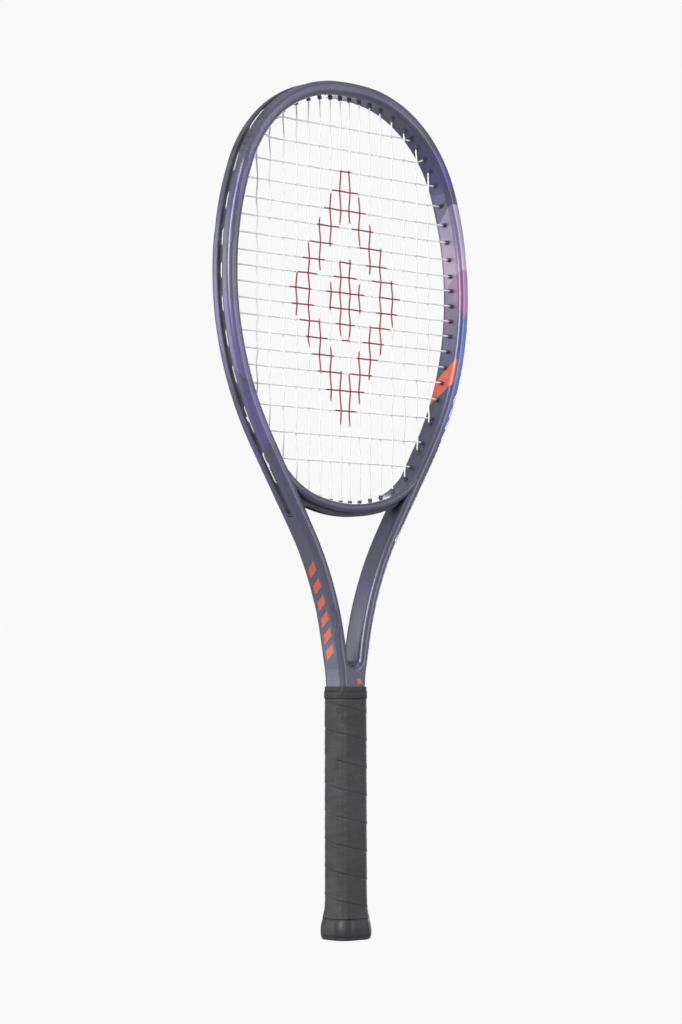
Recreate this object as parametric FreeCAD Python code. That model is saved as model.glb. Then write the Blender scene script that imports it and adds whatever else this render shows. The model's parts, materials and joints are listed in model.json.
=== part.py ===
import FreeCAD, Part
import math
import os

# Full-size tennis racket. Units are millimetres.
# Frame of reference: origin at the centre of the butt end, +Z up to the head tip,
# +X across the face, +Y normal to the strings.

# ---------------------------------------------------------------- driving dimensions
LENGTH = 685.8            # 27 in overall length
BEAM = 23.0               # frame depth along Y
HOOP_W = 11.3             # frame width in the string plane
EDGE_R = 4.5              # rounding of the frame's long edges
WALL = 2.0                # laminate wall
HOOP_ARCS = [(229.0, 4.27), (107.45, 65.26), (248.15, 52.47)]   # centreline radius, degrees
ARM_LINE = 75.0           # straight stretch after the hoop
ARM_OUT_R = 250.0         # outer edge of each arm, first arc
ARM_OUT_START = (52.7, 325.07)
ARM_OUT_TAPER = 22.35     # straight stretch at 10 degrees, then into the shaft
SHAFT_R = 100.0
ARM_IN_PHI = 120.85       # where the arm's inner edge leaves the hoop
ARM_IN_START = (41.33, 325.0)
ARM_IN_R = 260.0
CROTCH_PHI = 96.7
SHOULDER_Z = 195.0        # where the shank starts inside the handle
SHANK_X, SHANK_Y = 11.5, 8.2

BRIDGE_Z = 346.2          # hoop side surface of the throat bridge, at the middle
BRIDGE_R1, BRIDGE_R2, BRIDGE_A = 130.0, 70.0, 17.0    # middle arc, end arcs, angle where they meet
BRIDGE_T = 7.0
BRIDGE_HALF_Y = 10.8

CHANNEL_D = 3.4           # channel for the grommet strips in the outer edge
CHANNEL_Y = 3.6
STRIP_Y = 3.55
STRIP_FLOOR = 1.0
GROOVE_Y = 2.6
BUMPER_U = 141.0          # half arc length of the bumper guard
STRIP_END_U = 431.0
BUMPER_LIP = 1.5
BARREL_R, BARREL_BORE, HOLE_R = 1.7, 0.86, 1.76

STRING_R = 0.64
WEAVE = 0.67
MAIN_X = [5.0, 15.6, 27.0, 38.8, 51.9, 65.4, 79.65, 92.8]
CROSS_Z = [650.3, 632.4, 614.7, 598.4, 583.0, 568.9, 554.6, 540.8, 528.8, 516.1,
           503.3, 490.7, 477.8, 464.4, 451.2, 437.1, 420.9, 400.5, 379.6]
EXIT_Y = 0.78             # mains leave at +Y, crosses at -Y, so loops pass each other

GRIP_X, GRIP_Y = 31.2, 28.6       # across the flats, over the grip
GRIP_T = 1.9
GRIP_BOTTOM, GRIP_TOP = 17.0, 194.0
GRIP_STEP = 190.4
PALLET_TOP = 194.8
CAP_TOP = 30.0
WRAP_PITCH = 22.0

os.makedirs("parts", exist_ok=True)
V = FreeCAD.Vector


def save(name, shape):
    shape.exportStep("parts/%s.step" % name)
    print(name, "solids", len(shape.Solids), "valid", shape.isValid(), "volume", round(shape.Volume, 1))


# ---------------------------------------------------------------- hoop curve
def build_curve():
    segs = []
    z_top = LENGTH - HOOP_W / 2.0
    cx, cz = 0.0, z_top - HOOP_ARCS[0][0]
    phi, u = 0.0, 0.0
    for i, (r, deg) in enumerate(HOOP_ARCS):
        if i:
            pr = HOOP_ARCS[i - 1][0]
            cx += (pr - r) * math.sin(phi)
            cz += (pr - r) * math.cos(phi)
        dphi = math.radians(deg)
        segs.append(("arc", u, u + r * dphi, cx, cz, r, phi))
        u += r * dphi
        phi += dphi
    r = HOOP_ARCS[-1][0]
    px, pz = cx + r * math.sin(phi), cz + r * math.cos(phi)
    segs.append(("line", u, u + ARM_LINE, px, pz, 0.0, phi))
    return segs


CURVE = build_curve()
U_ARC_END = CURVE[2][2]
HOOP_PHI_END = CURVE[3][6]


def at(u, off):
    """Point on the offset hoop curve and its outward normal, both in XZ."""
    s = -1.0 if u < 0 else 1.0
    a = abs(u)
    for kind, u0, u1, x, z, r, phi in CURVE:
        if a <= u1 + 1e-9 or kind == "line":
            if kind == "arc":
                p = phi + (a - u0) / r
                n = (math.sin(p), math.cos(p))
                return s * (x + (r + off) * n[0]), z + (r + off) * n[1], s * n[0], n[1]
            n = (math.sin(phi), math.cos(phi))
            t = (math.cos(phi), -math.sin(phi))
            d = a - u0
            return s * (x + t[0] * d + off * n[0]), z + t[1] * d + off * n[1], s * n[0], n[1]


def pt(u, off, y=0.0):
    q = at(u, off)
    return V(q[0], y, q[1])


def path_edges(u0, u1, off, y=0.0):
    brk = [0.0]
    for seg in CURVE:
        brk += [seg[2], -seg[2]]
    cuts = sorted([u0, u1] + [b for b in brk if min(u0, u1) + 1e-6 < b < max(u0, u1) - 1e-6])
    if u1 < u0:
        cuts.reverse()
    out = []
    for a, b in zip(cuts[:-1], cuts[1:]):
        m = 0.5 * (a + b)
        if abs(m) > U_ARC_END:
            out.append(Part.makeLine(pt(a, off, y), pt(b, off, y)))
        else:
            out.append(Part.Arc(pt(a, off, y), pt(m, off, y), pt(b, off, y)).toShape())
    return out


def band(u0, u1, o0, o1, hy, y0=None):
    """Solid between two offsets of the hoop curve, from -hy to +hy."""
    ylo = -hy if y0 is None else y0
    edges = path_edges(u0, u1, o1, ylo)
    edges.append(Part.makeLine(pt(u1, o1, ylo), pt(u1, o0, ylo)))
    edges += path_edges(u1, u0, o0, ylo)
    edges.append(Part.makeLine(pt(u0, o0, ylo), pt(u0, o1, ylo)))
    return Part.Face(Part.Wire(edges)).extrude(V(0, hy - ylo, 0))


def arc_on(c, r, p0, p1, y, mirror=False):
    """Arc about c, points c - r (sin, cos) of the clockwise angle, in degrees."""
    k = -1.0 if mirror else 1.0

    def q(p):
        a = math.radians(p)
        return V(k * (c[0] - r * math.sin(a)), y, c[1] - r * math.cos(a))
    return Part.Arc(q(p0), q(0.5 * (p0 + p1)), q(p1)).toShape(), q(p0), q(p1)


def mirror_x(shape):
    return shape.mirror(V(0, 0, 0), V(1, 0, 0))


def outer_wire(inset, y, z_end):
    """Right half of the outer edge, from the head tip to the shaft."""
    off = HOOP_W / 2.0 - inset
    e = path_edges(0.0, U_ARC_END, off, y)
    p = HOOP_PHI_END
    c = (ARM_OUT_START[0] + ARM_OUT_R * math.sin(p), ARM_OUT_START[1] + ARM_OUT_R * math.cos(p))
    a, p0, p1 = arc_on(c, ARM_OUT_R + inset, math.degrees(p), 100.0, y)
    e.append(Part.makeLine(pt(U_ARC_END, off, y), p0))
    e.append(a)
    th = math.radians(10.0)
    p2 = p1 + V(-math.sin(th), 0, -math.cos(th)) * ARM_OUT_TAPER
    e.append(Part.makeLine(p1, p2))
    q = math.radians(100.0)
    c2 = (p2.x + (SHAFT_R + inset) * math.sin(q), p2.z + (SHAFT_R + inset) * math.cos(q))
    a2, p3, p4 = arc_on(c2, SHAFT_R + inset, 100.0, 90.0, y)
    e.append(a2)
    p5 = V(p4.x, y, z_end)
    e.append(Part.makeLine(p4, p5))
    return e, p5


def inner_wire(grow, y):
    """Right half of the inner edge, from the head tip to the crotch; grow > 0 moves into the frame."""
    off = -HOOP_W / 2.0 + grow
    r3 = HOOP_ARCS[2][0]
    phi0 = math.radians(HOOP_ARCS[0][1] + HOOP_ARCS[1][1])
    u_in = CURVE[2][1] + r3 * (math.radians(ARM_IN_PHI) - phi0)
    e = path_edges(0.0, u_in, off, y)
    a_in = math.radians(ARM_IN_PHI)
    c = (ARM_IN_START[0] + ARM_IN_R * math.sin(a_in), ARM_IN_START[1] + ARM_IN_R * math.cos(a_in))
    a, p0, p1 = arc_on(c, ARM_IN_R - grow, ARM_IN_PHI, CROTCH_PHI, y)
    e.append(Part.makeLine(pt(u_in, off, y), p0))
    e.append(a)
    return e, p1


def crotch(p1, y, grow=0.0):
    al = math.radians(CROTCH_PHI - 90.0)
    rc = p1.x / math.cos(al)
    zc = p1.z + rc * math.sin(al)
    return V(0, y, zc - rc)


# ---------------------------------------------------------------- frame
H = BEAM / 2.0
eo, po = outer_wire(0.0, -H, SHOULDER_Z)
right = eo
left = [mirror_x(x) for x in eo]
bottom = Part.makeLine(po, V(-po.x, po.y, po.z))
wire_o = Part.Wire(Part.__sortEdges__(right + left + [bottom]))
ei, pi_ = inner_wire(0.0, -H)
cb = crotch(pi_, -H)
arc_c = Part.Arc(pi_, cb, V(-pi_.x, pi_.y, pi_.z)).toShape()
wire_i = Part.Wire(Part.__sortEdges__(ei + [mirror_x(x) for x in ei] + [arc_c]))
plate = Part.Face(wire_o).extrude(V(0, BEAM, 0)).cut(Part.Face(wire_i).extrude(V(0, BEAM, 0)))
round_edges = []
for e in plate.Edges:
    bb = e.BoundBox
    if bb.YMax - bb.YMin > 0.1:
        continue
    if bb.ZMax < SHOULDER_Z + 0.1:
        continue
    round_edges.append(e)
full = plate.makeFillet(EDGE_R, round_edges)
print("full", full.isValid(), full.Volume)

channel = band(-STRIP_END_U - 0.6, STRIP_END_U + 0.6, HOOP_W / 2.0 - CHANNEL_D, HOOP_W / 2.0 + 3.0, CHANNEL_Y)
lip_zone = band(-BUMPER_U - 0.05, BUMPER_U + 0.05, HOOP_W / 2.0 - BUMPER_LIP, HOOP_W / 2.0 + 3.0, H + 2.0)

cav_hoop = band(-STRIP_END_U, STRIP_END_U, -HOOP_W / 2.0 + WALL, HOOP_W / 2.0 - CHANNEL_D - 1.4, H - WALL)


def arm_cavity():
    y = -(H - WALL)
    eo2, p_out = outer_wire(WALL, y, 200.0)
    ei2, p_in = inner_wire(WALL, y)
    outs = eo2[-4:]
    ins = ei2[-1:]
    o_top = max((v.Point for v in outs[0].Vertexes), key=lambda p: p.z)
    i_top = max((v.Point for v in ins[0].Vertexes), key=lambda p: p.z)
    i_bot = min((v.Point for v in ins[0].Vertexes), key=lambda p: p.z)
    low = V(1.3, y, 200.0)
    edges = outs + ins + [Part.makeLine(o_top, i_top), Part.makeLine(i_bot, V(i_bot.x, y, 212.0)),
                          Part.makeLine(V(i_bot.x, y, 212.0), V(1.3, y, 212.0)),
                          Part.makeLine(V(1.3, y, 212.0), low),
                          Part.makeLine(low, V(p_out.x, y, 200.0))]
    return Part.Face(Part.Wire(Part.__sortEdges__(edges))).extrude(V(0, 2 * (H - WALL), 0))


arm_cav = arm_cavity()
# short link between the hoop cavity and the arm cavity
link = band(STRIP_END_U - 4.0, U_ARC_END + ARM_LINE, -HOOP_W / 2.0 + 2.8, HOOP_W / 2.0 - CHANNEL_D - 1.4, H - WALL - 1.0)
shank = Part.makeBox(2 * SHANK_X, 2 * SHANK_Y, SHOULDER_Z - 8.0 + 1.0, V(-SHANK_X, -SHANK_Y, 8.0))
shank_bores = [Part.makeBox(SHANK_X - 3.2, 2 * SHANK_Y - 4.0, 196.0, V(1.3, -SHANK_Y + 2.0, 7.0)),
               Part.makeBox(SHANK_X - 3.2, 2 * SHANK_Y - 4.0, 196.0, V(-SHANK_X + 1.9, -SHANK_Y + 2.0, 7.0))]


# ---------------------------------------------------------------- string holes
def solve(func, lo, hi):
    a, b = lo, hi
    fa = func(a)
    for _ in range(60):
        m = 0.5 * (a + b)
        fm = func(m)
        if (fa < 0) == (fm < 0):
            a, fa = m, fm
        else:
            b = m
    return 0.5 * (a + b)


TIP = -HOOP_W / 2.0 - 2.4          # barrel tips stand 2.4 mm inside the hoop
EXIT_OFF = HOOP_W / 2.0 - CHANNEL_D + STRIP_FLOOR + STRING_R + 0.12   # string in the groove
SHOULDER_PHI = {("m", 6): 45.0, ("m", 7): 58.0, ("c", 0): 39.3, ("c", 1): 51.2}


def u_of_phi(deg):
    p = math.radians(deg)
    for kind, u0, u1, x, z, r, phi in CURVE[:3]:
        if p <= phi + (u1 - u0) / r + 1e-9:
            return u0 + (p - phi) * r


def make_hole(u, sdir, y_exit):
    """Tip inside the hoop, exit in the groove; the barrel leans half way to the string's line."""
    x, z, nx, nz = at(u, TIP)
    dx, dz = nx + sdir[0], nz + sdir[1]
    n = math.hypot(dx, dz)
    dx, dz = dx / n, dz / n
    k = (EXIT_OFF - TIP) / (dx * nx + dz * nz)
    ex, ez = x + dx * k, z + dz * k
    # arc length of the exit
    f = lambda uu: (at(uu, EXIT_OFF)[0] - ex) ** 2 + (at(uu, EXIT_OFF)[1] - ez) ** 2
    s = -1.0 if u < 0 else 1.0
    lo, hi = abs(u) - 14.0, abs(u) + 14.0
    for _ in range(70):
        m1, m2 = lo + (hi - lo) / 3.0, hi - (hi - lo) / 3.0
        if f(s * m1) < f(s * m2):
            hi = m2
        else:
            lo = m1
    ue = s * 0.5 * (lo + hi)
    e = at(ue, EXIT_OFF)
    return {"tip": V(x, 0, z), "exit": V(e[0], y_exit, e[1]), "u": ue, "n": (e[2], e[3])}


holes = {}
for i, X in enumerate(MAIN_X):
    if ("m", i) in SHOULDER_PHI:
        u = u_of_phi(SHOULDER_PHI[("m", i)])
    else:
        u = solve(lambda t: at(t, TIP)[0] - X, 0.0, 190.0)
    ub = solve(lambda t: -(at(t, TIP)[0] - X), 240.0, U_ARC_END + ARM_LINE) if i >= 5 else None
    for s in (1, -1):
        holes[("m", "top", i, s)] = make_hole(s * u, (0.0, 1.0), EXIT_Y)
        if ub is not None:
            holes[("m", "bot", i, s)] = make_hole(s * ub, (0.0, -1.0), EXIT_Y)
for j, Z in enumerate(CROSS_Z):
    if ("c", j) in SHOULDER_PHI:
        u = u_of_phi(SHOULDER_PHI[("c", j)])
    else:
        u = solve(lambda t: -(at(t, TIP)[1] - Z), 20.0, U_ARC_END + ARM_LINE)
    for s in (1, -1):
        holes[("c", "side", j, s)] = make_hole(s * u, (float(s), 0.0), -EXIT_Y)

def bridge_z(x, off):
    """Height of the bridge's hoop side surface, moved down by off."""
    a = math.radians(BRIDGE_A)
    x = abs(x)
    zc1 = BRIDGE_Z + BRIDGE_R1
    if x <= (BRIDGE_R1 + off) * math.sin(a):
        return zc1 - math.sqrt((BRIDGE_R1 + off) ** 2 - x * x)
    cx = (BRIDGE_R1 - BRIDGE_R2) * math.sin(a)
    cz = zc1 - (BRIDGE_R1 - BRIDGE_R2) * math.cos(a)
    return cz - math.sqrt((BRIDGE_R2 + off) ** 2 - (x - cx) ** 2)


# the sixth mains pass the end of the bridge, so their barrels start above it
for s in (1, -1):
    h = holes[("m", "bot", 5, s)]
    zt = bridge_z(MAIN_X[5], -2.4)
    h["tip"] = V(s * MAIN_X[5], 0, zt)

# throat bridge holes
BR_EXIT = BRIDGE_T + 1.2 + STRING_R + 0.12
for i in range(5):
    X = MAIN_X[i]
    zt = bridge_z(X, -2.4)
    ze = bridge_z(X, BR_EXIT)
    for s in (1, -1):
        holes[("m", "bot", i, s)] = {"tip": V(s * X, 0, zt), "exit": V(s * X, EXIT_Y, ze), "u": None, "n": None}


def hole_cyl(h, r, back=0.0, front=0.0):
    d = (h["exit"] - h["tip"])
    ln = d.Length
    d = d.normalize() if hasattr(d, "normalize") else d
    return Part.makeCylinder(r, ln + back + front, h["tip"] - d * back, d)


frame_holes = [h for k, h in holes.items() if h["u"] is not None]
hole_cut = Part.makeCompound([hole_cyl(h, HOLE_R, 2.0, 0.5) for h in frame_holes])

frame = full.cut(channel).cut(lip_zone)
frame = frame.fuse(shank)
frame = frame.cut(cav_hoop.fuse([arm_cav, mirror_x(arm_cav), link, mirror_x(link)] + shank_bores))
frame = frame.cut(hole_cut).removeSplitter()
save("frame_tube", frame)

# ---------------------------------------------------------------- throat bridge
def ring_band(o0, o1, end_deg, hy):
    """Band along the bridge between two offsets from its hoop side surface."""
    a, t1 = math.radians(BRIDGE_A), math.radians(end_deg)
    zc1 = BRIDGE_Z + BRIDGE_R1
    cx = (BRIDGE_R1 - BRIDGE_R2) * math.sin(a)
    cz = zc1 - (BRIDGE_R1 - BRIDGE_R2) * math.cos(a)

    def mid(o, t):
        r = BRIDGE_R1 + o
        return V(r * math.sin(t), -hy, zc1 - r * math.cos(t))

    def end(o, t, k):
        r = BRIDGE_R2 + o
        return V(k * (cx + r * math.sin(t)), -hy, cz - r * math.cos(t))

    def arc(p, q, r):
        return Part.Arc(p, q, r).toShape()
    tm = 0.5 * (a + t1)
    e = []
    if t1 <= a + 1e-6:
        e += [arc(mid(o1, -t1), mid(o1, 0), mid(o1, t1)), Part.makeLine(mid(o1, t1), mid(o0, t1)),
              arc(mid(o0, t1), mid(o0, 0), mid(o0, -t1)), Part.makeLine(mid(o0, -t1), mid(o1, -t1))]
    else:
        e += [arc(end(o1, t1, -1), end(o1, tm, -1), mid(o1, -a)), arc(mid(o1, -a), mid(o1, 0), mid(o1, a)),
              arc(mid(o1, a), end(o1, tm, 1), end(o1, t1, 1)), Part.makeLine(end(o1, t1, 1), end(o0, t1, 1)),
              arc(end(o0, t1, 1), end(o0, tm, 1), mid(o0, a)), arc(mid(o0, a), mid(o0, 0), mid(o0, -a)),
              arc(mid(o0, -a), end(o0, tm, -1), end(o0, t1, -1)), Part.makeLine(end(o0, t1, -1), end(o1, t1, -1))]
    return Part.Face(Part.Wire(e)).extrude(V(0, 2 * hy, 0))


bridge = ring_band(0.0, BRIDGE_T, 55.0, BRIDGE_HALF_Y)
long_edges = [e for e in bridge.Edges if e.BoundBox.YLength < 0.1 and e.Length > 20]
bridge = bridge.makeFillet(3.2, long_edges)
bridge = bridge.cut(full)
br_cav = ring_band(1.6, BRIDGE_T - 1.6, 33.0, BRIDGE_HALF_Y - 2.4)
bridge = bridge.cut(br_cav)
br_cut = [hole_cyl(h, HOLE_R, 2.0, 2.0) for k, h in holes.items()
          if (k[1] == "bot" and k[2] <= 6) or (k[1] == "side" and k[2] >= 17)]
bridge = bridge.cut(Part.makeCompound(br_cut))
bridge = max(bridge.Solids, key=lambda s: s.Volume)
save("throat_bridge", bridge)


# ---------------------------------------------------------------- grommet strips and bumper
def barrels(keys, extra_back=0.0):
    return [hole_cyl(holes[k], BARREL_R, 0.0, -(STRING_R + 0.12 + 0.3)) for k in keys]


def bores(keys):
    return [hole_cyl(holes[k], BARREL_BORE, 1.0, 0.4) for k in keys]


lo_o, hi_o = HOOP_W / 2.0 - CHANNEL_D + 0.03, HOOP_W / 2.0 - 0.15
strip_keys = {1: [], -1: [], 0: []}
for k, h in holes.items():
    if h["u"] is None:
        continue
    strip_keys[0 if abs(h["u"]) < BUMPER_U else (1 if h["u"] > 0 else -1)].append(k)

for s, name in ((1, "side_grommet_strip_right"), (-1, "side_grommet_strip_left")):
    a, b = s * (BUMPER_U + 0.35), s * STRIP_END_U
    st = band(min(a, b), max(a, b), lo_o, hi_o, STRIP_Y)
    st = st.cut(band(min(a, b) - 1.0, max(a, b) - (1.5 if s > 0 else -1.0), lo_o + STRIP_FLOOR, hi_o + 2.0, GROOVE_Y)
                if s > 0 else
                band(min(a, b) + 1.5, max(a, b) + 1.0, lo_o + STRIP_FLOOR, hi_o + 2.0, GROOVE_Y))
    st = st.fuse(barrels(strip_keys[s])).cut(Part.makeCompound(bores(strip_keys[s])))
    save(name, st)

bump = full.common(band(-BUMPER_U, BUMPER_U, HOOP_W / 2.0 - BUMPER_LIP + 0.03, HOOP_W / 2.0 + 2.0, H + 2.0))
bump = bump.fuse(band(-BUMPER_U, BUMPER_U, lo_o, HOOP_W / 2.0 - 0.6, STRIP_Y))
bump = bump.cut(band(-BUMPER_U - 1.0, BUMPER_U + 1.0, lo_o + STRIP_FLOOR, HOOP_W / 2.0 + 3.0, GROOVE_Y))
# shallow ridges across the guard: cross grooves at a steady pitch on both cheeks
ridge = []
u = -BUMPER_U + 6.0
while u < BUMPER_U - 5.0:
    for ys in (-1, 1):
        a0 = 5.2 * ys
        b0 = 8.2 * ys
        q = band(u, u + 1.0, HOOP_W / 2.0 - 0.35, HOOP_W / 2.0 + 2.0, max(a0, b0), min(a0, b0))
        ridge.append(q)
    u += 6.0
bump = bump.cut(Part.makeCompound(ridge))
bump = bump.fuse(barrels(strip_keys[0])).cut(Part.makeCompound(bores(strip_keys[0])))
save("bumper_guard", bump)

# throat strip under the bridge
bkeys = [k for k in holes if k[0] == "m" and k[1] == "bot" and k[2] <= 4]
r0 = BRIDGE_T + 0.03
tstrip = ring_band(r0, r0 + 3.3, 34.5, 3.9)
groove = ring_band(r0 + 1.17, r0 + 6.0, 31.5, 2.6)
tstrip = tstrip.cut(groove)
tstrip = max(tstrip.cut(full).Solids, key=lambda q: q.Volume)
tb = []
for k in bkeys:
    tb.append(hole_cyl(holes[k], BARREL_R, 0.0, -(STRING_R + 0.12 + 0.3)))
tstrip = tstrip.fuse(tb).cut(Part.makeCompound([hole_cyl(holes[k], BARREL_BORE, 1.0, 0.4) for k in bkeys]))
save("throat_grommet_strip", tstrip)


# ---------------------------------------------------------------- strings
def groove_path(h0, h1, y, step=7.0):
    u0, u1 = h0["u"], h1["u"]
    n = max(2, int(abs(u1 - u0) / step) + 1)
    pts = []
    for i in range(n + 1):
        uu = u0 + (u1 - u0) * i / n
        q = at(uu, EXIT_OFF)
        pts.append(V(q[0], y, q[1]))
    return pts


def bridge_path(x0, x1, y, step=6.0):
    n = max(2, int(abs(x1 - x0) / step) + 1)
    pts = []
    for i in range(n + 1):
        x = x0 + (x1 - x0) * i / n
        pts.append(V(x, y, bridge_z(x, BR_EXIT)))
    return pts


def half_width(j):
    return abs(holes[("c", "side", j, 1)]["tip"].x)


def crossing_sign(mi, j):
    return 1.0 if (mi + j) % 2 == 0 else -1.0


def main_index(i, s):
    return 8 + i if s > 0 else 7 - i


def main_run(i, s, up=True):
    X = s * MAIN_X[i]
    pts = [holes[("m", "bot", i, s)]["tip"]]
    zb, zt = pts[0].z, holes[("m", "top", i, s)]["tip"].z
    for j in range(len(CROSS_Z) - 1, -1, -1):
        if MAIN_X[i] < half_width(j) - 1.5 and zb + 2.5 < CROSS_Z[j] < zt - 2.5:
            pts.append(V(X, WEAVE * crossing_sign(main_index(i, s), j), CROSS_Z[j]))
    pts.append(holes[("m", "top", i, s)]["tip"])
    return pts if up else pts[::-1]


def cross_run(j, to_right=True):
    Z = CROSS_Z[j]
    pts = [holes[("c", "side", j, -1)]["tip"]]
    hw = half_width(j)
    for m in range(16):
        i, s = (m - 8, 1) if m >= 8 else (7 - m, -1)
        zb = holes[("m", "bot", i, s)]["tip"].z
        zt = holes[("m", "top", i, s)]["tip"].z
        if MAIN_X[i] < hw - 1.5 and zb + 2.5 < Z < zt - 2.5:
            pts.append(V(s * MAIN_X[i], -WEAVE * crossing_sign(m, j), Z))
    pts.append(holes[("c", "side", j, 1)]["tip"])
    return pts if to_right else pts[::-1]


def tidy(pts):
    out = [pts[0]]
    for p in pts[1:]:
        if (p - out[-1]).Length > 0.4:
            out.append(p)
    return out


# mains: tie-off left bottom, up the eighth left main, over the head, down the seventh, ...
order = []
for i in range(7, -1, -1):
    order.append((i, -1))
for i in range(0, 8):
    order.append((i, 1))
main_pts = []
up = True
h = holes[("m", "bot", 7, -1)]
q = at(h["u"] + 5.0, EXIT_OFF)
main_pts.append(V(q[0], EXIT_Y, q[1]))
main_pts.append(h["exit"])
for n, (i, s) in enumerate(order):
    main_pts += main_run(i, s, up)
    end = ("m", "top" if up else "bot", i, s)
    if n < len(order) - 1:
        nxt = order[n + 1]
        end2 = ("m", "top" if up else "bot", nxt[0], nxt[1])
        ha, hb = holes[end], holes[end2]
        if ha["u"] is not None and hb["u"] is not None:
            main_pts += groove_path(ha, hb, EXIT_Y)
        else:
            main_pts += bridge_path(ha["exit"].x, hb["exit"].x, EXIT_Y)
    up = not up
h = holes[("m", "bot", 7, 1)]
main_pts.append(h["exit"])
q = at(h["u"] - 5.0, EXIT_OFF)
main_pts.append(V(q[0], EXIT_Y, q[1]))
main_pts = tidy(main_pts)

# crosses: start on the right at the top, zigzag down
cross_pts = []
h = holes[("c", "side", 0, 1)]
q = at(h["u"] - 5.0, EXIT_OFF)
cross_pts += [V(q[0], -EXIT_Y, q[1]), h["exit"]]
to_right = False
for j in range(19):
    cross_pts += cross_run(j, to_right)
    s = 1 if to_right else -1
    if j < 18:
        cross_pts += groove_path(holes[("c", "side", j, s)], holes[("c", "side", j + 1, s)], -EXIT_Y)
    else:
        h = holes[("c", "side", j, s)]
        q = at(h["u"] + s * 5.0, EXIT_OFF)
        cross_pts += [h["exit"], V(q[0], -EXIT_Y, q[1])]
    to_right = not to_right
cross_pts = tidy(cross_pts)


def facet_tube(pts, r, sides=6):
    """Closed solid along a polyline, mitred at every corner, with planar faces."""
    n = len(pts)
    dirs = [(pts[i + 1] - pts[i]) for i in range(n - 1)]
    dirs = [d * (1.0 / d.Length) for d in dirs]
    ref = V(0, 1, 0)
    if abs(dirs[0].dot(ref)) > 0.9:
        ref = V(1, 0, 0)
    a = dirs[0].cross(ref)
    a = a * (1.0 / a.Length)
    b = dirs[0].cross(a)
    ring = [pts[0] + (a * math.cos(2 * math.pi * (k + 0.5) / sides) + b * math.sin(2 * math.pi * (k + 0.5) / sides)) * r
            for k in range(sides)]
    rings = [ring]
    for i in range(1, n):
        d = dirs[i - 1]
        m = d if i == n - 1 else (d + dirs[i])
        m = m * (1.0 / m.Length)
        rings.append([p + d * ((pts[i] - p).dot(m) / d.dot(m)) for p in rings[-1]])
    faces = [Part.Face(Part.makePolygon(rings[0] + [rings[0][0]])),
             Part.Face(Part.makePolygon(rings[-1] + [rings[-1][0]]))]
    for i in range(n - 1):
        A, B = rings[i], rings[i + 1]
        for k in range(sides):
            l = (k + 1) % sides
            faces.append(Part.Face(Part.makePolygon([A[k], A[l], B[l], B[k], A[k]])))
    shell = Part.Shell(faces)
    shell.sewShape()
    sol = Part.Solid(shell)
    if sol.Volume < 0:
        sol.reverse()
    return sol


for nm, pp in (("main_string", main_pts), ("cross_string", cross_pts)):
    print(nm, "corners", len(pp), "length", round(sum((pp[i + 1] - pp[i]).Length for i in range(len(pp) - 1))))
    save(nm, facet_tube(pp, STRING_R))


# ---------------------------------------------------------------- handle
def octagon(hx, hy, z, k=0.38):
    """Handle octagon: half widths hx and hy, bevels cut off k of each half side."""
    cx, cy = hx * k * 1.05, hy * k * 1.15
    p = [(hx, -hy + cy), (hx, hy - cy), (hx - cx, hy), (-hx + cx, hy), (-hx, hy - cy), (-hx, -hy + cy),
         (-hx + cx, -hy), (hx - cx, -hy)]
    p.append(p[0])
    return Part.Wire(Part.makePolygon([V(x, y, z) for x, y in p]))


def oct_prism(hx, hy, z0, z1):
    return Part.Face(octagon(hx, hy, z0)).extrude(V(0, 0, z1 - z0))


def oct_loft(sections):
    return Part.makeLoft([octagon(hx, hy, z) for z, hx, hy in sections], True, True)


px, py = GRIP_X / 2.0 - GRIP_T, GRIP_Y / 2.0 - GRIP_T
pallet = oct_prism(px, py, 8.0, PALLET_TOP)
shank_hole = Part.makeBox(2 * SHANK_X + 0.06, 2 * SHANK_Y + 0.06, 250, V(-SHANK_X - 0.03, -SHANK_Y - 0.03, 0))
pallet = pallet.cut(shank_hole)
big = 60.0
front = pallet.common(Part.makeBox(2 * big, big, 400, V(-big, -big - 0.03, -10)))
back = pallet.common(Part.makeBox(2 * big, big, 400, V(-big, 0.03, -10)))

# butt cap: flared cup over the foot of the pallets
cap_out = oct_loft([(0.0, 16.4, 14.9), (0.7, 17.6, 16.1), (2.4, 18.5, 17.0), (6.0, 18.8, 17.3), (10.0, 18.7, 17.2),
                    (14.0, 17.8, 16.4), (17.0, 16.4, 15.0), (22.0, 15.3, 14.0), (CAP_TOP, px + 1.0, py + 1.0)])
cap = cap_out.cut(oct_prism(px + 0.05, py + 0.05, 7.5, CAP_TOP + 1))
door_hx, door_hy = 10.5, 9.4
cap = cap.cut(oct_prism(door_hx + 0.35, door_hy + 0.35, -1.0, 8.0))
# pins of the staples pass through the cheeks of the cap
staple_cut = []
staples = []
for s in (1, -1):
    for yy in (-3.0, 3.0):
        staple_cut.append(Part.makeCylinder(0.62, 4.0, V(s * (px + 1.6), yy, 25.5), V(-s, 0, 0)))
        staples.append((s, yy))
cap = cap.cut(Part.makeCompound(staple_cut))
st_shapes = []
for s in (1, -1):
    x0 = px + 1.15
    legs = [Part.makeCylinder(0.5, 2.9, V(s * x0, yy, 25.5), V(-s, 0, 0)) for yy in (-3.0, 3.0)]
    crown = Part.makeBox(0.5, 7.0, 1.0, V(s * x0 - (0.0 if s > 0 else 0.5), -3.5, 25.0))
    st_shapes.append(crown.fuse(legs).removeSplitter())
cap_crown_cut = Part.makeCompound([Part.makeBox(0.65, 7.3, 1.3, V(s * (px + 1.13) - (0.0 if s > 0 else 0.65), -3.65, 24.85)) for s in (1, -1)])
cap = cap.cut(cap_crown_cut)
save("butt_cap", cap)
front2 = front.cut(Part.makeCompound(staple_cut))
back2 = back.cut(Part.makeCompound(staple_cut))
save("handle_pallet_front", front2)
save("handle_pallet_back", back2)
save("butt_cap_staples", Part.makeCompound(st_shapes))

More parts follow.
